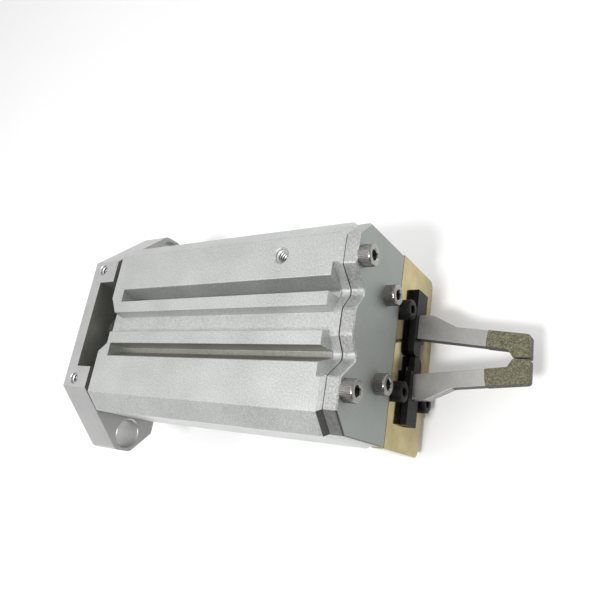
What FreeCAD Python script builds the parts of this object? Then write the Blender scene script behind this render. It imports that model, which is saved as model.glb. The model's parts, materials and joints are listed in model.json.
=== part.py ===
import FreeCAD, Part
import math
import os

# Two-finger pneumatic gripper, single acting with spring return, jaws closed at rest.
# Frame: origin at the centre of the rear mounting face on the cylinder axis,
# +X towards the jaws, +Z up out of the grooved face, millimetres.

# ---- driving dimensions -----------------------------------------------------
jaw_stroke = 5.0                 # travel of each jaw along Y
piston_stroke = 12.5             # travel of the piston along -X
running_gap = 0.05               # radial clearance of a running fit
thread_gap = 0.05                # screw in its threaded hole

flange_thick = 14.0              # rear mounting flange
flange_gap = 2.5                 # length of the spacers in front of the flange
cap_thick = 6.0                  # rear cap
body_front_x = 121.1             # front end of the extruded body
gasket_thick = 0.4
cover_thick = 4.5
guide_thick = 4.5                # brass guide plate, flush with the cover

half_depth = 20.0                # body from -20 to +20 in Z
body_half_width = 33.8
body_chamfer = 6.1
cover_half_width = 33.0
groove_outer_y = 13.45           # pad edge at the top of a sensor groove
groove_floor_y = 10.9
groove_depth = 7.2
rail_outer_y = 8.45
rail_inner_y = 3.9
slot_floor_y = 2.9
slot_depth = 4.0

bore_r = 12.5
rod_r = 5.0
cavity_r = 10.0
vent_r = 4.0
vent_z = 9.0
port_x = 97.8
port_y = 21.5
m5_r = 2.5
m4_r = 2.0

jaw_z = -27.2                    # mid height of the jaws and fingers
guide_half_width = 33.3
guide_top_z = -13.2
guide_low_z = -41.2
floor_z = -44.8                  # underside of the jaw housing
housing_back_x = 42.0
housing_half_width = 30.5

foot_thick = 2.3
foot_height = 8.5
foot_inner_y = 0.15
foot_outer_y = 24.0
finger_thick = 4.0
finger_tip_x = 166.0
grip_half_gap = 0.4
grit_thick = 0.12

# ---- derived positions ------------------------------------------------------
cap_back_x = flange_thick + flange_gap
body_back_x = cap_back_x + cap_thick
cover_back_x = body_front_x + gasket_thick
cover_front_x = cover_back_x + cover_thick
guide_front_x = cover_back_x + guide_thick
foot_back_x = guide_front_x + 0.1
foot_front_x = foot_back_x + foot_thick
cover_top = half_depth - 0.6

gland_back_x = 81.0
gland_front_x = 91.0
bumper_thick = 2.2
ring_thick = 1.2
boss_front_x = gland_back_x - bumper_thick - 0.1
piston_back_x = 62.0
piston_front_x = 74.0
cap_spigot_x = body_back_x + 3.0

arm_back_x = 105.0
arm_front_x = 112.0
arm_half_width = 4.5
cam_top_z = -27.0
cam_low_z = -32.0
cam_half_width = 19.3
pin_x = 95.0
pin_y = 9.5
pin_r = 2.5
slide_back_x = 113.0
slide_front_x = 121.3
slide_low_z = -33.1
slide_top_z = -20.1
tongue_low_z = -24.6

cover_screw_spots = [(-20.6, 15.9), (20.6, 15.9), (-14.65, -3.3), (14.65, -3.3)]
guide_screw_spots = [(-14.2, -16.7), (14.2, -16.7), (-14.2, -37.7), (14.2, -37.7)]
flange_bolt_spots = [(-22.5, 4.0), (22.5, 4.0), (-22.5, -11.0), (22.5, -11.0)]
housing_screw_spots = [(54.0, -22.0), (54.0, 22.0), (96.0, -24.0), (96.0, 24.0)]
ear_y = 40.3
ear_z = -5.8
ear_r = 5.5

V = FreeCAD.Vector
os.makedirs("parts", exist_ok=True)


# ---- helpers ----------------------------------------------------------------
def rounded_outline(points, radii):
    """Closed 2-D outline with a tangent arc of the given radius at each corner."""
    count = len(points)
    stations = []
    for i in range(count):
        before = points[i - 1]
        here = points[i]
        after = points[(i + 1) % count]
        r = radii[i] if isinstance(radii, (list, tuple)) else radii
        if r <= 0:
            stations.append((here, None, here))
            continue
        ux, uy = before[0] - here[0], before[1] - here[1]
        wx, wy = after[0] - here[0], after[1] - here[1]
        lu = math.hypot(ux, uy)
        lw = math.hypot(wx, wy)
        ux, uy, wx, wy = ux / lu, uy / lu, wx / lw, wy / lw
        angle = math.acos(max(-1.0, min(1.0, ux * wx + uy * wy)))
        reach = r / math.tan(angle / 2)
        bx, by = ux + wx, uy + wy
        lb = math.hypot(bx, by)
        middle = r / math.sin(angle / 2)
        cx = here[0] + bx / lb * middle
        cy = here[1] + by / lb * middle
        start = (here[0] + ux * reach, here[1] + uy * reach)
        end = (here[0] + wx * reach, here[1] + wy * reach)
        top = (cx - bx / lb * r, cy - by / lb * r)
        stations.append((start, top, end))
    return stations


def face_from(points, radii, place):
    """Planar face from an outline; place turns a 2-D point into a 3-D one."""
    stations = rounded_outline(points, radii)
    edges = []
    for i, (start, top, end) in enumerate(stations):
        if top is not None:
            edges.append(Part.Arc(place(start), place(top), place(end)).toShape())
        following = stations[(i + 1) % len(stations)][0]
        if math.hypot(following[0] - end[0], following[1] - end[1]) > 1e-7:
            edges.append(Part.makeLine(place(end), place(following)))
    return Part.Face(Part.Wire(edges))


def prism_x(points, radii, x0, x1):
    """Outline in (Y, Z) extruded from x0 to x1."""
    face = face_from(points, radii, lambda p: V(x0, p[0], p[1]))
    return face.extrude(V(x1 - x0, 0, 0))


def prism_z(points, radii, z0, z1):
    """Outline in (X, Y) extruded from z0 to z1."""
    face = face_from(points, radii, lambda p: V(p[0], p[1], z0))
    return face.extrude(V(0, 0, z1 - z0))


def box(x0, x1, y0, y1, z0, z1):
    return Part.makeBox(x1 - x0, y1 - y0, z1 - z0, V(x0, y0, z0))


def rod_x(r, x0, x1, y=0.0, z=0.0):
    return Part.makeCylinder(r, x1 - x0, V(x0, y, z), V(1, 0, 0))


def rod_z(r, z0, z1, x, y):
    return Part.makeCylinder(r, z1 - z0, V(x, y, z0), V(0, 0, 1))


def ring_x(r_out, r_in, x0, x1):
    return rod_x(r_out, x0, x1).cut(rod_x(r_in, x0 - 1, x1 + 1))


def cone_x(r0, r1, x0, x1, y=0.0, z=0.0):
    return Part.makeCone(r0, r1, x1 - x0, V(x0, y, z), V(1, 0, 0))


def hexagon_x(across, x0, x1, y=0.0, z=0.0):
    reach = across / math.sqrt(3)
    corners = []
    for k in range(6):
        a = math.radians(60 * k)
        corners.append((y + reach * math.cos(a), z + reach * math.sin(a)))
    return prism_x(corners, 0, x0, x1)


def mirror_y(shape):
    return shape.mirror(V(0, 0, 0), V(0, 1, 0))


def both_sides(points):
    """Outline of the +Y half, top to bottom, closed by its own mirror image."""
    return points + [(-y, z) for y, z in reversed(points)]


def cap_screw(head_r, head_h, shank_r, grip, socket):
    """Socket cap screw: head seat at X = 0, shank along -X, bevelled head."""
    edge = 0.35
    head = rod_x(head_r, 0, head_h - edge)
    head = head.fuse(cone_x(head_r, head_r - edge, head_h - edge, head_h))
    drive_depth = head_h * 0.6
    head = head.cut(hexagon_x(socket, head_h - drive_depth, head_h + 1))
    lead_in = cone_x(socket / math.sqrt(3) - 0.25, socket / math.sqrt(3) + 0.2, head_h - 0.3, head_h + 0.15)
    head = head.cut(lead_in)
    shank = rod_x(shank_r, 0.6 - grip, 0)
    tip = cone_x(shank_r - 0.5, shank_r, -grip, 0.6 - grip)
    return head.fuse([shank, tip]).removeSplitter()


def placed(shape, x, y, z):
    copy = shape.copy()
    copy.translate(V(x, y, z))
    return copy


def pointing(shape, direction):
    """Turn a screw modelled along X so that its head points along direction."""
    copy = shape.copy()
    turn = FreeCAD.Rotation(V(1, 0, 0), direction)
    copy.Placement = FreeCAD.Placement(V(0, 0, 0), turn)
    return copy


def nut(across, r, x0, x1):
    block = hexagon_x(across, x0, x1)
    reach = across / math.sqrt(3)
    blend = cone_x(reach - 0.35, reach + 0.35, x0, x0 + 0.5).fuse(rod_x(reach + 0.35, x0 + 0.5, x1 - 0.5))
    blend = blend.fuse(cone_x(reach + 0.35, reach - 0.35, x1 - 0.5, x1))
    return block.common(blend).cut(rod_x(r, x0 - 1, x1 + 1))


def o_ring_x(ring_r, cord_r, x):
    return Part.makeTorus(ring_r, cord_r, V(x, 0, 0), V(1, 0, 0))


def write(name, shape):
    if isinstance(shape, list):
        shape = Part.makeCompound(shape)
    shape.exportStep("parts/" + name + ".step")


# ---- section outlines -------------------------------------------------------
def octagon_half(half_width, top, low, chamfer):
    return [
        (half_width - chamfer, top),
        (half_width, top - chamfer),
        (half_width, low + chamfer),
        (half_width - chamfer, low),
    ]


def wave_half(top):
    """Centre hump, rounded valley and slope of the front end, from the middle outwards."""
    return [
        (4.1, half_depth - slot_depth),
        (9.2, half_depth - 7.7),
        (11.2, half_depth - 7.7),
        (17.3, top),
    ]


wave_radii = [2.4, 1.8, 1.8, 1.0]


def body_section():
    half = [
        (slot_floor_y, half_depth - slot_depth),
        (rail_inner_y, half_depth),
        (rail_outer_y, half_depth),
        (rail_outer_y, half_depth - groove_depth),
        (groove_floor_y, half_depth - groove_depth),
        (groove_outer_y, half_depth),
    ]
    half = half + octagon_half(body_half_width, half_depth, -half_depth, body_chamfer)
    radii = [0.2, 0.3, 0.3, 0.5, 1.0, 0.4, 0.5, 0.5, 0.5, 0.5]
    return both_sides(half), radii + radii[::-1]


def above_wave(top, x0, x1):
    """Everything above the wavy front outline, used as a cutter."""
    half = [(17.3 + (half_depth + 2 - top) * 0.86, half_depth + 2)] + wave_half(top)[::-1]
    radii = [0, 0] + wave_radii[2::-1]
    return prism_x(both_sides(half), radii + radii[::-1], x0, x1)


# ---- body -------------------------------------------------------------------
def body_envelope():
    """Octagonal bar whose front end tapers in a narrow bevelled band."""
    band = 1.5
    drop = 0.9
    full = both_sides(octagon_half(body_half_width, half_depth, -half_depth, body_chamfer))
    small = both_sides(octagon_half(body_half_width - drop, half_depth - drop, -half_depth, body_chamfer))
    bar = prism_x(full, 0, body_back_x - 1, body_front_x - band)
    back = face_from(full, 0, lambda p: V(body_front_x - band, p[0], p[1])).OuterWire
    front = face_from(small, 0, lambda p: V(body_front_x, p[0], p[1])).OuterWire
    return bar.fuse(Part.makeLoft([back, front], True, True))


def make_body():
    outline, radii = body_section()
    solid = prism_x(outline, radii, body_back_x, body_front_x).common(body_envelope())
    solid = solid.cut(above_wave(cover_top, 118.0, body_front_x + 1))
    solid = solid.cut(rod_x(bore_r, body_back_x - 1, gland_front_x))
    solid = solid.cut(cone_x(bore_r + 0.8, bore_r, body_back_x, body_back_x + 0.8))
    solid = solid.cut(rod_x(cavity_r, gland_front_x - 1, body_front_x + 1))
    solid = solid.cut(rod_x(bore_r + 0.8, gland_back_x - ring_thick - 0.1, gland_back_x))
    solid = solid.cut(box(91.4, 113.2, -5.2, 5.2, -half_depth - 1, 0))
    solid = solid.cut(rod_z(m5_r, half_depth - 7.0, half_depth + 1, port_x, port_y))
    solid = solid.cut(Part.makeCone(m5_r, m5_r + 0.5, 0.5, V(port_x, port_y, half_depth - 0.5), V(0, 0, 1)))
    solid = solid.cut(rod_z(1.2, -2.2, half_depth - 6.9, port_x, port_y))
    way = V(-20.8, -9.0, 0)
    solid = solid.cut(Part.makeCylinder(1.2, 23.5, V(port_x, port_y, 0), way))
    for y, z in cover_screw_spots:
        solid = solid.cut(rod_x(m4_r + thread_gap, 108.5, body_front_x + 1, y, z))
    for y, z in guide_screw_spots[:2]:
        solid = solid.cut(rod_x(m4_r + thread_gap, 111.5, body_front_x + 1, y, z))
    for y, z in flange_bolt_spots:
        solid = solid.cut(rod_x(m5_r + thread_gap, body_back_x - 1, 37.5, y, z))
    for x, y in housing_screw_spots:
        solid = solid.cut(rod_z(m5_r + thread_gap, -half_depth - 1, -9.0, x, y))
    for y in (-25.0, 25.0):
        solid = solid.cut(rod_z(2.0, -half_depth - 1, -15.0, 75.0, y))
    return solid


write("body_block", make_body())


# ---- front cover ------------------------------------------------------------
def cover_outline(inset):
    top = cover_top - inset
    half = [
        (4.1, half_depth - slot_depth - inset),
        (9.2 - inset * 0.4, half_depth - 7.7 - inset),
        (11.2 + inset * 0.4, half_depth - 7.7 - inset),
        (17.3 + inset * 0.4, top),
        (cover_half_width - body_chamfer - inset * 0.4, top),
        (cover_half_width - inset, top - body_chamfer + inset * 0.4),
        (cover_half_width - inset, guide_top_z + 0.05 + inset),
    ]
    radii = wave_radii + [0.4, 0.4, 0.2]
    return both_sides(half), radii + radii[::-1]


def make_cover():
    outline, radii = cover_outline(0.0)
    full = prism_x(outline, radii, cover_back_x, cover_front_x - 0.5)
    inner, inner_radii = cover_outline(0.35)
    back = face_from(outline, radii, lambda p: V(cover_front_x - 0.5, p[0], p[1])).OuterWire
    front = face_from(inner, inner_radii, lambda p: V(cover_front_x, p[0], p[1])).OuterWire
    bevel = Part.makeLoft([back, front], True, True)
    solid = full.fuse(bevel)
    for y, z in cover_screw_spots:
        solid = solid.cut(rod_x(m4_r + 0.25, cover_back_x - 1, cover_front_x + 1, y, z))
    return solid


write("front_cover", make_cover())

gasket_outline, gasket_radii = cover_outline(0.5)
gasket = prism_x(gasket_outline, gasket_radii, body_front_x, cover_back_x)
gasket = gasket.cut(rod_x(cavity_r, body_front_x - 1, cover_back_x + 1))
for spot_y, spot_z in cover_screw_spots:
    gasket = gasket.cut(rod_x(m4_r + 0.25, body_front_x - 1, cover_back_x + 1, spot_y, spot_z))
write("cover_gasket", gasket)

cover_screw = cap_screw(3.5, 4.0, m4_r, 16.0, 3.0)
write("cover_screws", [placed(cover_screw, cover_front_x, y, z) for y, z in cover_screw_spots])


# ---- brass guide plate ------------------------------------------------------
def make_guide_plate():
    tab_y = 18.7
    half = [
        (guide_half_width, guide_top_z),
        (guide_half_width, guide_low_z),
        (tab_y, guide_low_z),
        (tab_y, floor_z),
    ]
    radii = [0.15, 3.0, 0.6, 1.0]
    solid = prism_x(both_sides(half), radii + radii[::-1], cover_back_x, guide_front_x)
    slot = [(21.6, jaw_z + 3.05), (21.6, jaw_z - 3.05)]
    solid = solid.cut(prism_x(both_sides(slot), 0.4, cover_back_x - 1, guide_front_x + 1))
    for y, z in guide_screw_spots:
        solid = solid.cut(rod_x(m4_r + 0.25, cover_back_x - 1, guide_front_x + 1, y, z))
    return solid


write("guide_plate", make_guide_plate())
guide_screw = cap_screw(3.5, 3.5, m4_r, 13.0, 2.5)
write("guide_screws", [placed(guide_screw, guide_front_x, y, z) for y, z in guide_screw_spots])


# ---- jaw housing ------------------------------------------------------------
def make_housing():
    half = [
        (housing_half_width, -half_depth),
        (housing_half_width, floor_z + 3.0),
        (housing_half_width - 3.0, floor_z),
    ]
    solid = prism_x(both_sides(half), [0.3, 0.6, 0.6, 0.6, 0.6, 0.3], housing_back_x, cover_back_x)
    back_cut = Part.makePolygon([
        V(housing_back_x - 1, 0, floor_z - 1),
        V(housing_back_x + 5, 0, floor_z - 1),
        V(housing_back_x - 1, 0, floor_z + 5),
        V(housing_back_x - 1, 0, floor_z - 1),
    ])
    back_cut = Part.Face(back_cut).extrude(V(0, 80, 0))
    back_cut.translate(V(0, -40, 0))
    solid = solid.cut(back_cut)
    solid = solid.cut(box(76.0, 113.2, -cam_half_width - 0.15, cam_half_width + 0.15, cam_low_z - 0.1, 0))
    solid = solid.cut(box(112.9, cover_back_x + 1, -28.6, 28.6, slide_low_z - 0.1, 0))
    for y, z in guide_screw_spots[2:]:
        solid = solid.cut(rod_x(m4_r + thread_gap, 112.0, cover_back_x + 1, y, z))
    for x, y in housing_screw_spots:
        solid = solid.cut(rod_z(m5_r + 0.25, floor_z - 1, 0, x, y))
        solid = solid.cut(rod_z(4.6, floor_z - 1, floor_z + 6.3, x, y))
    for y in (-25.0, 25.0):
        solid = solid.cut(rod_z(2.0, -25.0, -half_depth + 1, 75.0, y))
    return solid


write("jaw_housing", make_housing())
housing_screw = pointing(cap_screw(4.25, 5.0, m5_r, 27.0, 4.0), V(0, 0, -1))
write("housing_screws", [placed(housing_screw, x, y, floor_z + 6.3) for x, y in housing_screw_spots])
write("housing_dowels", [rod_z(1.97, -24.8, -15.2, 75.0, y) for y in (-25.0, 25.0)])


# ---- rear cap ---------------------------------------------------------------
def make_rear_cap():
    half = [(slot_floor_y, half_depth - slot_depth), (rail_inner_y, half_depth)]
    half = half + octagon_half(body_half_width, half_depth, -half_depth, body_chamfer)
    radii = [0.2, 0.3, 0.5, 0.5, 0.5, 0.5]
    solid = prism_x(both_sides(half), radii + radii[::-1], cap_back_x, body_back_x)
    notch = [
        (cap_back_x - 1, 11.0),
        (cap_back_x, 10.0),
        (cap_back_x + 3.9, 3.8),
        (cap_back_x + 4.0, -8.6),
        (cap_back_x, -11.7),
        (cap_back_x - 1, -12.5),
    ]
    solid = solid.cut(prism_z(notch, [0, 0, 2.5, 0.8, 0, 0], half_depth - slot_depth, half_depth + 1))
    spigot = rod_x(bore_r - 0.05, body_back_x, cap_spigot_x)
    groove = ring_x(bore_r + 1, bore_r - 1.6, body_back_x + 0.7, body_back_x + 2.3)
    solid = solid.fuse(spigot.cut(groove))
    solid = solid.cut(rod_x(vent_r + thread_gap, cap_back_x - 1, cap_back_x + 3.0, 0, vent_z))
    solid = solid.cut(rod_x(1.5, cap_back_x + 2.5, cap_spigot_x + 1, 0, vent_z - 1.5))
    for y, z in flange_bolt_spots:
        solid = solid.cut(rod_x(m5_r + 0.25, cap_back_x - 1, body_back_x + 1, y, z))
    return solid


write("rear_cap", make_rear_cap())
write("cap_seal", o_ring_x(bore_r - 0.8, 0.74, body_back_x + 1.5))


# ---- mounting flange --------------------------------------------------------
def make_flange():
    half = [
        (26.3, half_depth),
        (47.2, -1.5),
        (47.2, -9.0),
        (38.5, -18.2),
    ]
    radii = [0.8, 3.0, 3.0, 1.5]
    solid = prism_x(both_sides(half), radii + radii[::-1], 0, flange_thick)
    pocket = [(-18.0, half_depth + 1), (17.3, half_depth + 1), (17.3, -10.0), (-18.0, -10.0)]
    solid = solid.cut(prism_x(pocket, [0, 0, 3.0, 3.0], 5.7, flange_thick + 1))
    for side in (-1, 1):
        solid = solid.cut(rod_x(ear_r, -1, flange_thick + 1, side * ear_y, ear_z))
        solid = solid.cut(rod_z(m4_r, half_depth - 8.0, half_depth + 1, 5.5, side * 23.0))
        mouth = Part.makeCone(m4_r, m4_r + 0.4, 0.4, V(5.5, side * 23.0, half_depth - 0.4), V(0, 0, 1))
        solid = solid.cut(mouth)
        for x0, r0, r1 in ((0, ear_r + 0.5, ear_r), (flange_thick - 0.5, ear_r, ear_r + 0.5)):
            solid = solid.cut(cone_x(r0, r1, x0, x0 + 0.5, side * ear_y, ear_z))
    for y, z in flange_bolt_spots:
        solid = solid.cut(rod_x(m5_r + 0.25, -1, flange_thick + 1, y, z))
        solid = solid.cut(rod_x(4.6, -1, 5.5, y, z))
    return solid


write("mounting_flange", make_flange())
flange_bolt = pointing(cap_screw(4.25, 5.0, m5_r, 30.0, 4.0), V(-1, 0, 0))
write("flange_bolts", [placed(flange_bolt, 5.5, y, z) for y, z in flange_bolt_spots])

spacers = []
for spot_y, spot_z in flange_bolt_spots:
    tube = rod_x(4.5, flange_thick, cap_back_x, spot_y, spot_z)
    spacers.append(tube.cut(rod_x(m5_r + 0.25, flange_thick - 1, cap_back_x + 1, spot_y, spot_z)))
write("flange_spacers", spacers)

vent = rod_x(vent_r, cap_back_x - 0.5, cap_back_x + 2.4, 0, vent_z)
vent = vent.fuse(hexagon_x(10.0, cap_back_x - 3.5, cap_back_x, 0, vent_z))
dome = Part.makeSphere(5.5, V(cap_back_x - 3.3, 0, vent_z)).common(box(0, cap_back_x - 3.4, -9, 9, 0, 19))
vent = vent.fuse(dome).cut(rod_x(1.2, cap_back_x - 1.5, cap_back_x + 5, 0, vent_z - 1.5))
write("vent_plug", vent)


# ---- gland ------------------------------------------------------------------
gland = rod_x(bore_r - 0.03, gland_back_x, gland_front_x)
gland = gland.cut(ring_x(bore_r + 1, bore_r - 1.6, 84.0, 86.0))
gland = gland.cut(rod_x(rod_r + 0.3, gland_back_x - 1, gland_front_x + 1))
gland = gland.cut(rod_x(rod_r + 1.5, 85.5, gland_front_x - 0.5))
gland = gland.cut(rod_x(rod_r + 2.6, gland_back_x - 1, 84.0))
write("rod_gland", gland)
write("gland_seal", o_ring_x(bore_r - 0.82, 0.73, 85.0))
write("rod_bush", ring_x(rod_r + 1.47, rod_r + running_gap, 85.6, gland_front_x - 0.6))

lip = ring_x(rod_r + 2.55, rod_r + 0.4, 81.4, 83.9)
lip = lip.fuse(ring_x(rod_r + 1.4, rod_r + running_gap, 82.4, 83.9))
lip = lip.cut(cone_x(rod_r + 1.9, rod_r + 1.2, 81.3, 82.3).cut(rod_x(rod_r + 1.0, 81, 83)))
write("rod_seal", lip)

ring = ring_x(bore_r + 0.75, bore_r - 2.2, gland_back_x - ring_thick, gland_back_x - 0.05)
ring = ring.cut(box(gland_back_x - 3, gland_back_x + 1, -2.0, 2.0, -bore_r - 2, 0))
for side in (-1, 1):
    lug = rod_x(1.9, gland_back_x - ring_thick, gland_back_x - 0.05, side * 4.0, -bore_r + 3.0)
    ring = ring.fuse(lug.cut(box(gland_back_x - 3, gland_back_x + 1, -2.0, 2.0, -bore_r - 2, 0)))
    ring = ring.cut(rod_x(0.7, gland_back_x - 3, gland_back_x + 1, side * 4.0, -bore_r + 3.0))
write("gland_ring", ring.removeSplitter())
write("bumper", ring_x(8.2, rod_r + 0.6, gland_back_x - bumper_thick, gland_back_x))


# ---- piston and rod ---------------------------------------------------------
piston = rod_x(bore_r - 0.3, piston_back_x, piston_front_x)
piston = piston.fuse(rod_x(8.0, piston_front_x - 1, boss_front_x))
piston = piston.cut(ring_x(bore_r + 1, bore_r - 1.8, 71.0, 73.2))
piston = piston.cut(ring_x(bore_r + 1, bore_r - 2.6, 66.6, 69.8))
piston = piston.cut(ring_x(bore_r + 1, bore_r - 1.6, 63.0, 66.0))
piston = piston.cut(rod_x(rod_r, 68.0, boss_front_x + 1))
piston = piston.cut(rod_x(3.0, piston_back_x - 1, 69.0))
write("piston", piston)
piston_lip = ring_x(bore_r - 0.35, bore_r - 1.77, 71.05, 73.15)
piston_lip = piston_lip.fuse(ring_x(bore_r - running_gap, bore_r - 1.0, 72.1, 73.15))
write("piston_seal", piston_lip)
write("magnet_ring", ring_x(bore_r - 0.6, bore_r - 2.57, 66.65, 69.75))
write("wear_ring", ring_x(bore_r - running_gap, bore_r - 1.57, 63.05, 65.95))

rod = rod_x(rod_r - 0.02, 68.0, arm_back_x)
rod = rod.fuse(rod_x(2.98, 56.6, 68.5))
rod = rod.fuse(rod_x(2.98, arm_back_x - 0.5, 118.0))
rod = rod.cut(hexagon_x(2.5, 116.0, 119.0))
write("piston_rod", rod)
write("piston_nut", nut(10.0, 3.03, 57.2, piston_back_x))
write("arm_nut", nut(10.0, 3.03, arm_front_x, 117.0))


# ---- return spring ----------------------------------------------------------
def make_spring(x0, x1, mean_r, wire_r, active, closed):
    """Compression spring with close-wound end coils, ends resting at x0 and x1."""
    low = x0 + wire_r
    high = x1 - wire_r
    end_rise = 2.05 * wire_r * closed
    turns = active + 2 * closed
    steps = int(turns * 16)
    points = []
    for i in range(steps + 1):
        t = turns * i / steps
        if t < closed:
            x = low + end_rise * t / closed
        elif t > turns - closed:
            x = high - end_rise * (turns - t) / closed
        else:
            x = low + end_rise + (high - low - 2 * end_rise) * (t - closed) / active
        a = 2 * math.pi * t
        points.append(V(x, mean_r * math.cos(a), mean_r * math.sin(a)))
    path = Part.BSplineCurve()
    path.interpolate(points)
    start = points[0]
    profile = Part.Wire(Part.makeCircle(wire_r, start, points[1] - start))
    return Part.Wire(path.toShape()).makePipeShell([profile], True, True)


write("return_spring", make_spring(cap_spigot_x, piston_back_x, 8.9, 1.0, 6.0, 1.0))


# ---- drive arm and cam plate ------------------------------------------------
arm = box(arm_back_x, arm_front_x, -arm_half_width, arm_half_width, cam_top_z, 0)
arm = arm.fuse(rod_x(6.5, arm_back_x, arm_front_x))
arm = arm.cut(rod_x(3.05, arm_back_x - 1, arm_front_x + 1))
for spot_y in (-2.5, 2.5):
    arm = arm.cut(rod_z(1.25 + thread_gap, cam_top_z - 1, cam_top_z + 7.0, 108.5, spot_y))
write("drive_arm", arm.removeSplitter())


def inclined_slot(side, r):
    """Cam slot, from the closed-jaw end to the open-jaw end."""
    x0, y0 = pin_x, side * pin_y
    x1, y1 = pin_x + piston_stroke, side * (pin_y + jaw_stroke)
    length = math.hypot(x1 - x0, y1 - y0)
    nx, ny = -(y1 - y0) / length * r, (x1 - x0) / length * r
    middle = prism_z([(x0 + nx, y0 + ny), (x1 + nx, y1 + ny), (x1 - nx, y1 - ny), (x0 - nx, y0 - ny)],
                     0, cam_low_z - 1, cam_top_z + 1)
    ends = [rod_z(r, cam_low_z - 1, cam_top_z + 1, x, y) for x, y in ((x0, y0), (x1, y1))]
    return middle.fuse(ends)


cam_outline = [(90.0, -cam_half_width), (112.4, -cam_half_width), (112.4, cam_half_width), (90.0, cam_half_width)]
cam = prism_z(cam_outline, 1.5, cam_low_z, cam_top_z)
for sign in (-1, 1):
    cam = cam.cut(inclined_slot(sign, pin_r + running_gap))
for spot_y in (-2.5, 2.5):
    cam = cam.cut(rod_z(1.5, cam_low_z - 1, cam_top_z + 1, 108.5, spot_y))
    cam = cam.cut(Part.makeCone(2.6, 1.4, 1.3, V(108.5, spot_y, cam_low_z), V(0, 0, 1)))
write("cam_plate", cam)

cam_screws = []
for spot_y in (-2.5, 2.5):
    screw = Part.makeCone(2.3, 1.25, 1.15, V(108.5, spot_y, cam_low_z + 0.15), V(0, 0, 1))
    cam_screws.append(screw.fuse(rod_z(1.25, cam_low_z + 1.3, cam_top_z + 6.0, 108.5, spot_y)))
write("cam_screws", cam_screws)


# ---- jaws (modelled on the +Y side) -----------------------------------------
finger_outline = [
    (foot_front_x, 6.4),
    (159.2, 3.0),
    (160.9, grip_half_gap),
    (finger_tip_x, grip_half_gap),
    (finger_tip_x, 7.75),
    (142.3, 10.35),
    (133.6, 14.75),
    (foot_front_x, 14.95),
]
finger_radii = [0.15, 1.0, 0.3, 0.25, 1.1, 3.0, 2.0, 0.2]
finger_low_z = jaw_z - finger_thick / 2
finger_top_z = jaw_z + finger_thick / 2
finger_screw_y = (8.3, 12.9)


def make_slide():
    solid = box(slide_back_x, slide_front_x, 1.0, 23.0, slide_low_z, slide_top_z)
    tongue = [(91.0, 5.3), (slide_back_x + 1, 5.3), (slide_back_x + 1, 13.7), (91.0, 13.7)]
    solid = solid.fuse(prism_z(tongue, [3.0, 0, 0, 3.0], tongue_low_z, slide_top_z))
    neck = box(slide_front_x - 1, foot_back_x, 4.0, 16.0, jaw_z - 2.95, jaw_z + 2.95)
    solid = solid.fuse(neck)
    solid = solid.cut(rod_z(pin_r, tongue_low_z - 1, slide_top_z - 1.5, pin_x, pin_y))
    for y in finger_screw_y:
        solid = solid.cut(rod_x(1.4, slide_back_x - 1, foot_back_x + 1, y, jaw_z))
        solid = solid.cut(rod_x(2.1, slide_back_x - 1, slide_back_x + 2.6, y, jaw_z))
    return solid.removeSplitter()


def make_foot(stepped):
    low = jaw_z - foot_height / 2
    high = jaw_z + foot_height / 2
    if stepped:
        outline = [(foot_inner_y, low), (foot_outer_y, low), (foot_outer_y, high), (5.6, high),
                   (5.6, high - 2.2), (foot_inner_y, high - 2.2)]
        radii = [2.4, 0.3, 0.3, 0.3, 0.6, 0.3]
    else:
        outline = [(foot_inner_y, low + 2.2), (5.6, low + 2.2), (5.6, low), (foot_outer_y, low),
                   (foot_outer_y, high), (foot_inner_y, high)]
        radii = [0.3, 0.6, 0.3, 0.3, 0.3, 2.4]
    solid = prism_x(outline, radii, foot_back_x, foot_front_x)
    for y in finger_screw_y:
        solid = solid.cut(rod_x(1.4, foot_back_x - 1, foot_front_x + 1, y, jaw_z))
    return solid


def grit_window(margin):
    """Region of the finger tip that carries the grit, with a curved inner border."""
    x0 = 152.6
    edge = Part.Arc(V(x0 + 0.9, -3.0, 0), V(x0 - 0.35, 4.0, 0), V(x0 + 1.2, 12.0, 0)).toShape()
    corners = [V(x0 + 1.2, 12.0, 0), V(finger_tip_x + 3, 12.0, 0), V(finger_tip_x + 3, -3.0, 0), V(x0 + 0.9, -3.0, 0)]
    lines = [Part.makeLine(corners[i], corners[i + 1]) for i in range(3)]
    region = Part.Face(Part.Wire([edge] + lines))
    region.translate(V(0, 0, finger_low_z - margin))
    return region.extrude(V(0, 0, finger_thick + 2 * margin))


def make_finger():
    solid = prism_z(finger_outline, finger_radii, finger_low_z, finger_top_z)
    for y in finger_screw_y:
        solid = solid.cut(rod_x(1.0 + thread_gap, foot_front_x - 1, foot_front_x + 6.5, y, jaw_z))
    return solid


def make_grit():
    core = prism_z(finger_outline, finger_radii, finger_low_z, finger_top_z)
    face = face_from(finger_outline, finger_radii, lambda p: V(p[0], p[1], finger_low_z - grit_thick))
    grown = face.makeOffset2D(grit_thick)
    sleeve = grown.extrude(V(0, 0, finger_thick + 2 * grit_thick))
    return sleeve.common(grit_window(grit_thick)).cut(core)


finger_screw = cap_screw(1.9, 2.0, 1.0, 17.6, 1.5)
finger_screw = pointing(finger_screw, V(-1, 0, 0))
jaws = {
    "jaw_slide": make_slide(),
    "cam_pin": rod_z(pin_r - 0.01, cam_low_z + 0.3, slide_top_z - 1.6, pin_x, pin_y),
    "finger": make_finger(),
    "grit_tip": make_grit(),
    "finger_screws": Part.makeCompound([
        placed(finger_screw, slide_back_x + 2.6, y, jaw_z) for y in finger_screw_y]),
}
for name, shape in jaws.items():
    write(name + "_left", shape)
    write(name + "_right", mirror_y(shape))
write("jaw_foot_left", make_foot(False))
write("jaw_foot_right", mirror_y(make_foot(True)))
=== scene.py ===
import json
import math

import bmesh
import bpy
from mathutils import Matrix, Vector


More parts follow.
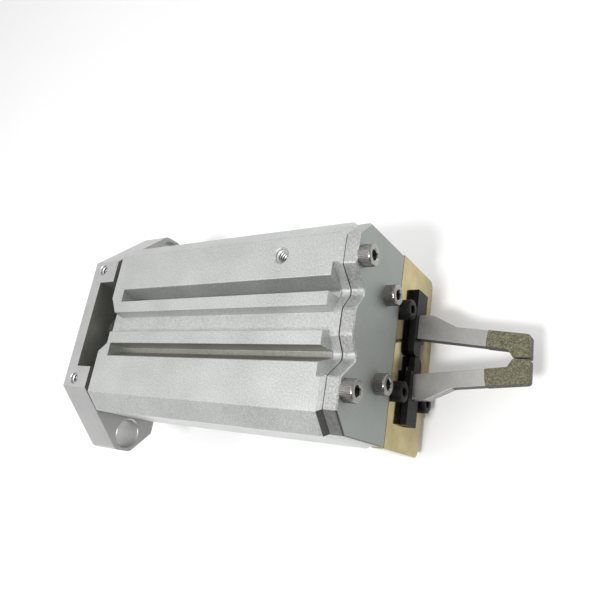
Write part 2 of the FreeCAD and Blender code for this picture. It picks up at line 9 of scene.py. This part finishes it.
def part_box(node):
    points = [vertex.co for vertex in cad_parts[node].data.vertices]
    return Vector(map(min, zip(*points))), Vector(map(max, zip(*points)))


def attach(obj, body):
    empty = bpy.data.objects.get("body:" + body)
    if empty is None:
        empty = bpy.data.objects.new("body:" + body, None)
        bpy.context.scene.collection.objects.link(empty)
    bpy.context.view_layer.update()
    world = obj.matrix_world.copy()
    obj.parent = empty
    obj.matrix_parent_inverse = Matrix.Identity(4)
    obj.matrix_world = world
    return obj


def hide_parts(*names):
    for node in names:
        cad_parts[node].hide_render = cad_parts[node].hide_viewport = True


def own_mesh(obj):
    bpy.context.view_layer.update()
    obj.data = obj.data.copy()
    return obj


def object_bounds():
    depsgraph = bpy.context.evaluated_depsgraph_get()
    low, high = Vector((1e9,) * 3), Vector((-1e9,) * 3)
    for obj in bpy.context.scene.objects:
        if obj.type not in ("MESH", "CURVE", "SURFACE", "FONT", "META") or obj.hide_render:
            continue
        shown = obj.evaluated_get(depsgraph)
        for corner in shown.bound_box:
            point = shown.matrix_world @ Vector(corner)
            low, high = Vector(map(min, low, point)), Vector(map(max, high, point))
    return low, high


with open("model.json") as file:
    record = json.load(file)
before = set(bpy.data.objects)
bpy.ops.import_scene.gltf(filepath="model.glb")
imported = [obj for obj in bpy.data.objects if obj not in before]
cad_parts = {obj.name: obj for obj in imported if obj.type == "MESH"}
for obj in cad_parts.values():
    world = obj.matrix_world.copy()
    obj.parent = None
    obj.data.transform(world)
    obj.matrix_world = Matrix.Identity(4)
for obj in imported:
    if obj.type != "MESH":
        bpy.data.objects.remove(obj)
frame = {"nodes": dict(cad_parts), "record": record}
CAD_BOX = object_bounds()
MM = 0.001
NODES = frame["nodes"]
MOUNTS = {mount["name"]: mount for mount in frame["record"]["mounts"]}
WELD = 2e-6                          # points nearer than this are one point
HEAD_RADIUS = 3.5 * MM               # M4 cap screws
M4_RADIUS = 2.0 * MM
M4_PITCH = 0.7 * MM
scene = bpy.context.scene


# ---- materials --------------------------------------------------------------
class Shader:
    """A node material built step by step, in the row frame's own coordinates."""

    def __init__(self, name):
        self.material = bpy.data.materials.new(name)
        self.material.use_nodes = True
        self.tree = self.material.node_tree
        self.bsdf = self.tree.nodes["Principled BSDF"]
        self.place = self.tree.nodes.new("ShaderNodeTexCoord").outputs["Object"]
        self.height = None

    def put(self, kind, **inputs):
        node = self.tree.nodes.new(kind)
        for key, value in inputs.items():
            self.feed(node.inputs[key.replace("_", " ")], value)
        return node

    def feed(self, socket, value):
        if isinstance(value, bpy.types.NodeSocket):
            self.tree.links.new(value, socket)
        else:
            socket.default_value = value

    def stretched(self, scale, turn=(0, 0, 0)):
        node = self.put("ShaderNodeMapping", Vector=self.place)
        node.inputs["Scale"].default_value = scale
        node.inputs["Rotation"].default_value = turn
        return node.outputs["Vector"]

    def noise(self, scale, detail=3.0, roughness=0.55, where=None, distortion=0.0):
        node = self.put("ShaderNodeTexNoise", Vector=where or self.place, Scale=scale, Detail=detail,
                        Roughness=roughness, Distortion=distortion)
        return node.outputs["Fac"]

    def cells(self, scale, feature="F1", where=None):
        node = self.put("ShaderNodeTexVoronoi", Vector=where or self.place, Scale=scale)
        node.feature = feature
        return node

    def ramp(self, value, *stops):
        """stops: (position, colour or grey level)."""
        node = self.put("ShaderNodeValToRGB", Fac=value)
        elements = node.color_ramp.elements
        while len(elements) < len(stops):
            elements.new(0.5)
        for element, (position, tone) in zip(elements, stops):
            element.position = position
            rgb = tone if isinstance(tone, tuple) else (tone, tone, tone)
            element.color = (*rgb, 1.0)
        return node.outputs["Color"]

    def math(self, operation, a, b=0.0):
        node = self.tree.nodes.new("ShaderNodeMath")
        node.operation = operation
        self.feed(node.inputs[0], a)
        self.feed(node.inputs[1], b)
        return node.outputs[0]

    def mix(self, factor, a, b, mode="MIX"):
        node = self.tree.nodes.new("ShaderNodeMix")
        node.data_type = "RGBA"
        node.blend_type = mode
        self.feed(node.inputs[0], factor)
        for socket, value in ((node.inputs[6], a), (node.inputs[7], b)):
            self.feed(socket, (*value, 1.0) if isinstance(value, tuple) else value)
        return node.outputs[2]

    def bump(self, height, strength, distance):
        node = self.put("ShaderNodeBump", Height=height, Strength=strength, Distance=distance)
        if self.height is not None:
            self.tree.links.new(self.height, node.inputs["Normal"])
        self.height = node.outputs["Normal"]
        self.tree.links.new(self.height, self.bsdf.inputs["Normal"])

    def surface(self, colour, roughness, metallic):
        self.feed(self.bsdf.inputs["Base Color"], (*colour, 1.0) if isinstance(colour, tuple) else colour)
        self.feed(self.bsdf.inputs["Roughness"], roughness)
        self.bsdf.inputs["Metallic"].default_value = metallic
        return self.material


def blasted(name, low, high, rough_low, rough_high, grain=1900, depth=0.00004, metallic=0.85):
    """Bead-blasted anodised aluminium: fine grain with bright specks."""
    s = Shader(name)
    fine = s.noise(grain, 4.0, 0.62)
    specks = s.cells(grain * 0.8).outputs["Distance"]
    cloud = s.noise(60, 2.0)
    base = s.ramp(s.math("ADD", s.math("MULTIPLY", fine, 0.75), s.math("MULTIPLY", cloud, 0.25)),
                  (0.32, low), (0.68, high))
    rough = s.ramp(fine, (0.3, rough_low), (0.7, rough_high))
    s.bump(fine, 0.55, depth)
    s.bump(specks, 0.25, depth * 0.7)
    return s.surface(base, rough, metallic)


def machined(name, low, high, rough, streak, turn=(0, 0, 0), metallic=0.9):
    """Cut or ground metal with fine tool marks along one direction."""
    s = Shader(name)
    lines = s.noise(1.0, 5.0, 0.6, s.stretched(streak, turn))
    cloud = s.noise(90, 3.0)
    base = s.ramp(s.math("ADD", s.math("MULTIPLY", lines, 0.6), s.math("MULTIPLY", cloud, 0.4)),
                  (0.35, low), (0.65, high))
    roughness = s.ramp(lines, (0.3, rough - 0.05), (0.7, rough + 0.07))
    s.bump(lines, 0.25, 0.00002)
    return s.surface(base, roughness, metallic)


def dark_oxide(name, tone=0.007, rough=0.34):
    """Blackened steel, nearly without shine."""
    s = Shader(name)
    cloud = s.noise(700, 4.0)
    fine = s.noise(6000, 2.0)
    base = s.ramp(cloud, (0.3, (tone, tone, tone)), (0.7, (tone * 1.9, tone * 1.9, tone * 1.8)))
    roughness = s.ramp(cloud, (0.3, rough - 0.06), (0.7, rough + 0.12))
    s.bump(fine, 0.3, 0.00001)
    s.bsdf.inputs["Specular IOR Level"].default_value = 0.10
    return s.surface(base, roughness, 0.0)


def grit(name, level):
    """Plated diamond grit: olive-grey crystals with bright facets."""
    s = Shader(name)
    cells = s.cells(2600)
    facets = s.put("ShaderNodeSeparateColor", Color=cells.outputs["Color"]).outputs[0]
    cloud = s.noise(1200, 3.0)
    tones = [(0.07, 0.066, 0.038), (0.135, 0.128, 0.076), (0.27, 0.26, 0.17)]
    low, middle, high = [tuple(level * part for part in tone) for tone in tones]
    body = s.ramp(s.math("ADD", s.math("MULTIPLY", facets, 0.5), s.math("MULTIPLY", cloud, 0.5)),
                  (0.25, low), (0.52, middle), (0.80, high))
    rough = s.ramp(facets, (0.1, 0.35), (0.9, 0.7))
    s.bump(cells.outputs["Distance"], 0.7, 0.00010)
    s.bump(cloud, 0.4, 0.00006)
    return s.surface(body, rough, 0.45)


def polished(name, low, high, rough):
    """Polished brass, darkened almost to black around the jaws."""
    s = Shader(name)
    cloud = s.noise(140, 4.0, 0.6)
    scratches = s.noise(1.0, 3.0, 0.6, s.stretched((500, 60, 9000), (0.3, 0, 0)))
    split = s.put("ShaderNodeSeparateXYZ", Vector=s.place)
    wander = s.math("MULTIPLY", s.math("SUBTRACT", cloud, 0.5), 0.006)
    jaw_height = MOUNTS["grip_point"]["pos_m"][2]
    above_jaws = s.math("SUBTRACT", split.outputs["Z"], jaw_height)
    off_z = s.math("ABSOLUTE", s.math("ADD", above_jaws, wander))
    off_y = s.math("ABSOLUTE", s.math("ADD", split.outputs["Y"], wander))
    # Darker towards the jaws: a soft patch round the jaw height and the centre line, mixed almost to black
    near_z = s.ramp(s.math("DIVIDE", off_z, 12.5 * MM), (0.72, 1.0), (0.98, 0.0))
    near_y = s.ramp(s.math("DIVIDE", off_y, 20.0 * MM), (0.50, 1.0), (0.72, 0.0))
    dark_near_jaws = s.math("MULTIPLY", s.math("MULTIPLY", near_z, near_y), 0.88)
    base = s.mix(dark_near_jaws, s.ramp(cloud, (0.3, low), (0.7, high)), (0.05, 0.047, 0.025))
    roughness = s.ramp(scratches, (0.35, rough), (0.75, rough + 0.10))
    s.bump(scratches, 0.10, 0.00001)
    return s.surface(base, roughness, 1.0)


def rubber(name, tone=0.02):
    """Dull fine-grained rubber or plastic."""
    s = Shader(name)
    fine = s.noise(3000, 3.0)
    base = s.ramp(fine, (0.3, tone * 0.7), (0.7, tone * 1.4))
    s.bump(fine, 0.3, 0.00002)
    return s.surface(base, s.ramp(fine, (0.3, 0.55), (0.7, 0.75)), 0.0)


LOOKS = {
    "anodised": blasted("anodised", (0.43, 0.44, 0.43), (0.72, 0.73, 0.72), 0.38, 0.56),
    "cover_grey": blasted("cover_grey", (0.27, 0.287, 0.27), (0.345, 0.365, 0.345), 0.50, 0.60,
                          2600, 0.00001),
    # Dark copy of the blasted finish: painted shade, put on chosen bevels and on thread flanks and roots
    "dark_painted_shade": blasted("dark_painted_shade", (0.09, 0.09, 0.085), (0.16, 0.16, 0.15), 0.4, 0.5, 2600, 0.00002),
    # Darker copy of the blasted finish: painted shade for one sensor groove
    "groove_painted_shade": blasted("groove_painted_shade", (0.31, 0.31, 0.28), (0.52, 0.52, 0.48), 0.38, 0.56),
    # Darker copy of the cover's edge finish: painted shade for one bevel of the cover
    "cover_bevel_painted_shade": blasted("cover_bevel_painted_shade", (0.17, 0.17, 0.165), (0.32, 0.32, 0.31), 0.36, 0.55, 1500, 0.00006),
    "cover_edge": blasted("cover_edge", (0.30, 0.30, 0.29), (0.66, 0.67, 0.65), 0.32, 0.60, 1500, 0.00009),
    "machined_aluminium": machined("machined_aluminium", (0.50, 0.50, 0.50), (0.62, 0.62, 0.615), 0.40,
                                   (300, 6000, 6000)),
    "flange_face": blasted("flange_face", (0.30, 0.30, 0.295), (0.40, 0.40, 0.39), 0.42, 0.55, 1500, 0.00004),
    # Darker copy of the blasted finish: painted shade inside the flange's pocket
    "pocket_painted_shade": blasted("pocket_painted_shade", (0.28, 0.285, 0.26), (0.40, 0.405, 0.37), 0.45, 0.6, 1500, 0.00006),
    "inner_aluminium": machined("inner_aluminium", (0.55, 0.56, 0.57), (0.70, 0.70, 0.71), 0.3,
                                (6000, 300, 300)),
    "stainless": machined("stainless", (0.15, 0.148, 0.135), (0.36, 0.35, 0.33), 0.20, (900, 2500, 2500)),
    "steel_small": machined("steel_small", (0.40, 0.40, 0.41), (0.56, 0.56, 0.57), 0.3, (3000, 900, 900)),
    "ground_steel": machined("ground_steel", (0.31, 0.305, 0.29), (0.44, 0.435, 0.415), 0.40,
                             (9000, 500, 9000)),
    "cut_steel": blasted("cut_steel", (0.055, 0.055, 0.05), (0.12, 0.12, 0.11), 0.45, 0.6, 2500, 0.00005),
    "hard_steel": machined("hard_steel", (0.38, 0.39, 0.41), (0.50, 0.51, 0.53), 0.22, (2000, 2000, 2000)),
    "spring_steel": machined("spring_steel", (0.20, 0.21, 0.23), (0.32, 0.33, 0.35), 0.28,
                             (2500, 2500, 2500)),
    "black_oxide": dark_oxide("black_oxide"),
    "polished_brass": polished("polished_brass", (0.35, 0.285, 0.12), (0.48, 0.405, 0.20), 0.07),
    "bronze": blasted("bronze", (0.30, 0.20, 0.10), (0.55, 0.40, 0.22), 0.4, 0.6, 3500, 0.00010),
    "diamond_grit": grit("diamond_grit", 1.0),
    # The grit at about a fifth of its brightness: painted shade for the sides of the tips
    "grit_side_painted_shade": grit("grit_side_painted_shade", 0.22),
    "black_rubber": rubber("black_rubber"),
    "magnet": rubber("magnet", 0.05),
    "guide_plastic": rubber("guide_plastic", 0.4),
}
SLOT_OF = {s["node"]: s["material_slot"] for s in frame["record"]["subparts"]}
for name, node in NODES.items():
    node.data.materials.clear()
    node.data.materials.append(LOOKS[SLOT_OF[name]])


# ---- mesh helpers -----------------------------------------------------------
def body_of_node(name):
    """Name of the body that a CAD node rides on."""
    for body, members in frame["record"]["behaviour"]["bodies"].items():
        if name in members:
            return body


def new_piece(name, mesh, slot, body, replaced=()):
    """Put a mesh into the scene as a piece that rides on a body."""
    piece = bpy.data.objects.new(name, mesh)
    scene.collection.objects.link(piece)
    if not mesh.materials:
        mesh.materials.append(LOOKS[slot])
    if replaced:
        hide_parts(*replaced)
    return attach(piece, body)


def smooth(piece, angle=32):
    """Shade smooth, apart from edges sharper than angle."""
    piece.data.shade_smooth()
    piece.data.set_sharp_from_angle(angle=math.radians(angle))
    keep = piece.modifiers.new("weighted", "WEIGHTED_NORMAL")
    keep.keep_sharp = True


def softened(node, width, segments=2, angle=25):
    """The CAD node again with its sharp edges broken, as a real part's are."""
    source = NODES[node]
    bm = bmesh.new()
    bm.from_mesh(source.data)
    bmesh.ops.remove_doubles(bm, verts=bm.verts, dist=WELD)
    bmesh.ops.dissolve_limit(bm, angle_limit=math.radians(0.6), verts=bm.verts, edges=bm.edges)
    sharp = [e for e in bm.edges if len(e.link_faces) == 2 and e.calc_face_angle(0) > math.radians(angle)]
    bmesh.ops.bevel(bm, geom=sharp, offset=width, segments=segments, profile=0.5, affect="EDGES",
                    clamp_overlap=True, material=-1)
    mesh = bpy.data.meshes.new(node + "_finish")
    bm.to_mesh(mesh)
    bm.free()
    piece = new_piece(node + "_finish", mesh, SLOT_OF[node], body_of_node(node), [node])
    smooth(piece)
    return piece


def paint(piece, look, chosen):
    """Give the faces for which chosen(centre in mm, normal) is true a look of their own."""
    mesh = piece.data
    mesh.materials.append(LOOKS[look])
    index = len(mesh.materials) - 1
    for face in mesh.polygons:
        if chosen(face.center / MM, face.normal):
            face.material_index = index


def inside(point, low, high):
    return all(a < b < c for a, b, c in zip(low, point, high))


# ---- CAD pieces with their edges broken -------------------------------------
def finish_body():
    low, high = [Vector(corner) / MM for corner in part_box("body_block")]
    body = softened("body_block", 0.22 * MM)
    # Painted shade: the forward-facing faces at the top -Y front corner of the body get the dark look
    paint(body, "dark_painted_shade", lambda c, n: c.x > high.x - 1.7 and c.y < low.y + 6.3
          and c.z > high.z - 6.0 and n.x > 0.2)
    # Painted shade: the walls and floor of the -Y sensor groove get a darker look, the +Y groove does not
    groove = (18.0, -13.6, 12.0), (high.x - 2.1, -8.0, high.z - 1.0)
    paint(body, "groove_painted_shade", lambda c, n: inside(c, *groove) and n.x < 0.5)


def finish_flange():
    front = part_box("mounting_flange")[1][0] / MM
    flange = softened("mounting_flange", 0.30 * MM)
    # Painted shade: the faces inside the pocket of the flange get a darker look
    pocket_painted_shade = (5.5, -18.2, -10.2), (front - 0.2, 17.5, 19.5)
    paint(flange, "pocket_painted_shade", lambda c, n: inside(c, *pocket_painted_shade) and max(n.x, abs(n.y), n.z) > 0.7)
    paint(flange, "flange_face", lambda c, n: c.x > front - 0.1 and n.x > 0.9)


def finish_cover():
    low, high = [Vector(corner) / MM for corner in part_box("front_cover")]
    cover = softened("front_cover", 0.12 * MM)
    paint(cover, "cover_edge", lambda c, n: n.x < 0.9)
    # Painted shade: the bevel faces at the -Y end of the cover that face up and towards -Y get a darker look
    paint(cover, "cover_bevel_painted_shade", lambda c, n: n.x < 0.9 and c.y < low.y + 6.5 and n.y < -0.3 and n.z > 0.3)
    # Painted shade: the front edge bevel of the cover at its -Y end gets the dark look
    paint(cover, "dark_painted_shade", lambda c, n: 0.2 < n.x < 0.95 and c.x > high.x - 0.6 and c.y < low.y + 6.2)


def finish_jaw(side):
    slim_from = 142.0
    inner_side = 6.6
    softened("jaw_foot_" + side, 0.18 * MM)
    finger = softened("finger_" + side, 0.14 * MM)
    paint(finger, "cut_steel", lambda c, n: abs(n.z) < 0.4 and (c.x > slim_from or abs(c.y) < inner_side))
    tip = softened("grit_tip_" + side, 0.03 * MM, 1)
    # Painted shade: the sides of the grit tip are darkened, so the slit between the closed tips shows dark
    paint(tip, "grit_side_painted_shade", lambda c, n: abs(n.z) < 0.6)


finish_body()
softened("rear_cap", 0.22 * MM)
finish_flange()
finish_cover()
softened("guide_plate", 0.10 * MM)
softened("jaw_housing", 0.30 * MM)
finish_jaw("left")
finish_jaw("right")


# ---- screws and threads -----------------------------------------------------
def solid_centres(node):
    """Centre in Y and Z of each separate solid of a CAD node."""
    bm = bmesh.new()
    bm.from_mesh(NODES[node].data)
    bmesh.ops.remove_doubles(bm, verts=bm.verts, dist=WELD)
    centres = []
    seen = set()
    for start in bm.verts:
        if start in seen:
            continue
        seen.add(start)
        solid = [start]
        for vert in solid:
            for edge in vert.link_edges:
                other = edge.other_vert(vert)
                if other not in seen:
                    seen.add(other)
                    solid.append(other)
        ys = [vert.co.y for vert in solid]
        zs = [vert.co.z for vert in solid]
        centres.append(((min(ys) + max(ys)) / 2, (min(zs) + max(zs)) / 2))
    bm.free()
    return sorted(centres)


def ring(bm, place, along, radii):
    """Points round the X direction through place, one at each radius, in equal steps of angle."""
    points = []
    for k, radius in enumerate(radii):
        angle = 2 * math.pi * k / len(radii)
        offset = Vector((along, radius * math.cos(angle), radius * math.sin(angle)))
        points.append(bm.verts.new(place + offset))
    return points


def close_up(bm, rings):
    """Faces between neighbouring rings, and one over each end."""
    for lower, upper in zip(rings, rings[1:]):
        for k in range(len(lower)):
            j = (k + 1) % len(lower)
            bm.faces.new((lower[k], lower[j], upper[j], upper[k]))
    bm.faces.new(rings[0])
    bm.faces.new(rings[-1])


def socket_head(bm, place, height, across, knurls=40):
    """Cap-screw head along +X with a knurled rim, rounded front edge and hexagon socket."""
    depth = 0.085 * MM
    steps = knurls * 4
    rings = []
    for along, size in ((0.0, 1.0), (0.10, 1.0), (0.78, 1.0), (0.90, 0.985), (0.97, 0.95), (1.0, 0.89)):
        radii = [HEAD_RADIUS * size] * steps
        if 0.05 < along < 0.8:
            radii = [r - depth if k % 4 < 2 else r for k, r in enumerate(radii)]
        rings.append(ring(bm, place, height * along, radii))
    hexagon = []
    for k in range(steps):
        angle = 2 * math.pi * k / steps
        hexagon.append(across / 2 / math.cos(angle % (math.pi / 3) - math.pi / 6))
    mouth = [across / math.sqrt(3) * 1.12] * steps
    for along, radii in ((1.0, mouth), (0.93, hexagon), (0.40, hexagon)):
        rings.append(ring(bm, place, height * along, radii))
    close_up(bm, rings)


def shank(bm, place, length, sides=32):
    """Threaded shank from the seat back along -X, as a stack of thread flanks."""
    count = int(length / M4_PITCH * 2)
    rings = []
    for i in range(count + 1):
        radius = M4_RADIUS * (0.985 if i % 2 else 0.86)
        rings.append(ring(bm, place, -length * i / count, [radius] * sides))
    close_up(bm, rings)


def screws(node, seat_node, across):
    """The screws of a CAD node again, standing on the front of seat_node, with knurled heads."""
    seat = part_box(seat_node)[1][0]
    low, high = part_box(node)
    end_gap = 0.1 * MM
    bm = bmesh.new()
    for y, z in solid_centres(node):
        place = Vector((seat, y, z))
        socket_head(bm, place, high[0] - seat, across)
        shank(bm, place, seat - low[0] - end_gap)
    bmesh.ops.recalc_face_normals(bm, faces=bm.faces)
    mesh = bpy.data.meshes.new(node + "_finish")
    bm.to_mesh(mesh)
    bm.free()
    piece = new_piece(node + "_finish", mesh, SLOT_OF[node], body_of_node(node), [node])
    smooth(piece, 28)


screws("cover_screws", "front_cover", 3.15 * MM)
screws("guide_screws", "guide_plate", 2.7 * MM)


def tapped(name, x, y, radius, pitch, turns, slot):
    """Thread ridge just inside a tapped hole that opens upwards in the top face."""
    bm = bmesh.new()
    sides = 40
    top = CAD_BOX[1][2] - 0.8 * MM
    root = radius - 0.02 * MM
    crest = radius - 0.54 * pitch
    rows = []
    for i in range(int(turns * sides) + 1):
        angle = 2 * math.pi * i / sides
        z = top - pitch * i / sides
        row = []
        for r, rise in ((root, 0.31), (crest, 0.0), (root, -0.31), (root, -0.69)):
            row.append(bm.verts.new((x + r * math.cos(angle), y + r * math.sin(angle), z + rise * pitch)))
        rows.append(row)
    # Painted shade: the lower flank and the root of every turn take the second, dark look, so the turns show
    # as light and dark bands
    for here, there in zip(rows, rows[1:]):
        for k in range(3):
            face = bm.faces.new((here[k], here[k + 1], there[k + 1], there[k]))
            face.material_index = min(k, 1)
    bmesh.ops.recalc_face_normals(bm, faces=bm.faces)
    mesh = bpy.data.meshes.new(name)
    bm.to_mesh(mesh)
    bm.free()
    for look in (slot, "dark_painted_shade"):
        mesh.materials.append(LOOKS[look])
    smooth(new_piece(name, mesh, slot, "gripper_body"), 50)


port = MOUNTS["air_port"]
tapped("port_thread", *port["pos_m"][:2], port["dims"]["r_mm"] * MM, 1.1 * MM, 5, "anodised")
top_holes = MOUNTS["flange_top_holes"]
for letter, side in (("b", -1), ("a", 1)):
    hole_y = side * top_holes["dims"]["spacing_y_mm"] / 2 * MM
    tapped("flange_thread_" + letter, top_holes["pos_m"][0], hole_y, top_holes["dims"]["hole_r_mm"] * MM,
           1.0 * MM, 6, "machined_aluminium")


def return_spring():
    """The return spring, smooth-shaded on a mesh of its own; the real spring shortens from the piston's end
    as the piston comes back.
    """
    mesh = NODES["return_spring"].data.copy()
    mesh.shade_smooth()
    spring = new_piece("return_spring_coil", mesh, "spring_steel", "gripper_body", ["return_spring"])
    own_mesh(spring)


return_spring()


# ---- camera, floor and light ------------------------------------------------
def set_camera():
    """High in front of the object, looking back and down, with the picture turned on its side."""
    data = bpy.data.cameras.new("camera")
    data.sensor_width = 36.0
    data.lens = 33.544
    data.clip_start = 0.005
    camera = bpy.data.objects.new("camera", data)
    scene.collection.objects.link(camera)
    heading = Matrix.Rotation(math.radians(62.4067), 4, "Z")
    tilt = Matrix.Rotation(math.radians(39.0676), 4, "X")
    roll = Matrix.Rotation(math.radians(-58.5600), 4, "Z")
    place = Matrix.Translation(Vector((204.41, -44.56, 153.70)) * MM)
    camera.matrix_world = place @ heading @ tilt @ roll
    scene.camera = camera


def set_floor():
    """Plain pale floor just under the object."""
    mesh = bpy.data.meshes.new("floor")
    reach = 3.0
    z = CAD_BOX[0][2] - 0.1 * MM
    corners = [(-reach, -reach, z), (reach, -reach, z), (reach, reach, z), (-reach, reach, z)]
    mesh.from_pydata(corners, [], [(0, 1, 2, 3)])
    s = Shader("floor_paper")
    tone = s.ramp(s.noise(3.0, 2.0), (0.3, 0.90), (0.7, 0.93))
    s.bump(s.noise(900, 2.0), 0.05, 0.0001)
    mesh.materials.append(s.surface(tone, 0.8, 0.0))
    s.bsdf.inputs["Emission Color"].default_value = (1.0, 1.0, 1.0, 1.0)
    s.bsdf.inputs["Emission Strength"].default_value = 0.06
    floor = bpy.data.objects.new("floor", mesh)
    scene.collection.objects.link(floor)


def set_world():
    """Bright soft room, darker low down in front of the object, where the viewer stands."""
    world = bpy.data.worlds.new("studio")
    world.use_nodes = True
    tree = world.node_tree
    background = tree.nodes["Background"]
    place = tree.nodes.new("ShaderNodeTexCoord").outputs["Generated"]

    def ramp(value, *stops):
        node = tree.nodes.new("ShaderNodeValToRGB")
        node.color_ramp.interpolation = "EASE"
        tree.links.new(value, node.inputs["Fac"])
        for element, (position, grey) in zip(node.color_ramp.elements, stops):
            element.position = position
            element.color = (grey, grey, grey, 1.0)
        return node.outputs["Color"]

    split = tree.nodes.new("ShaderNodeSeparateXYZ")
    tree.links.new(place, split.inputs[0])
    sky = ramp(split.outputs["Z"], (0.0, 0.80), (0.9, 1.0))
    spot = tree.nodes.new("ShaderNodeVectorMath")
    spot.operation = "DOT_PRODUCT"
    tree.links.new(place, spot.inputs[0])
    spot.inputs[1].default_value = Vector((0.45, -0.85, 0.27)).normalized()
    dark = ramp(spot.outputs["Value"], (0.35, 1.0), (0.93, 0.10))
    both = tree.nodes.new("ShaderNodeMix")
    both.data_type = "RGBA"
    both.blend_type = "MULTIPLY"
    both.inputs[0].default_value = 1.0
    tree.links.new(sky, both.inputs[6])
    tree.links.new(dark, both.inputs[7])
    tree.links.new(both.outputs[2], background.inputs["Color"])
    background.inputs["Strength"].default_value = 0.88
    scene.world = world


def area_light(name, place, target, size, power):
    """Round soft lamp aimed at a point."""
    data = bpy.data.lights.new(name, "AREA")
    data.shape = "DISK"
    data.size = size
    data.energy = power
    lamp = bpy.data.objects.new(name, data)
    scene.collection.objects.link(lamp)
    lamp.location = place
    aim = Vector(target) - Vector(place)
    lamp.rotation_euler = aim.to_track_quat("-Z", "Y").to_euler()


set_camera()
set_floor()
set_world()
area_light("key", place=(0.13, -0.38, 0.78), target=(0.10, 0, 0), size=0.17, power=4.4)
area_light("ceiling", place=(-0.10, -0.03, 1.0), target=(0.10, 0, 0), size=0.65, power=0.9)
area_light("front_card", place=(0.24, 0.13, 0.06), target=(0.125, 0.03, 0.0), size=0.10, power=0.065)
scene.view_settings.view_transform = "Standard"
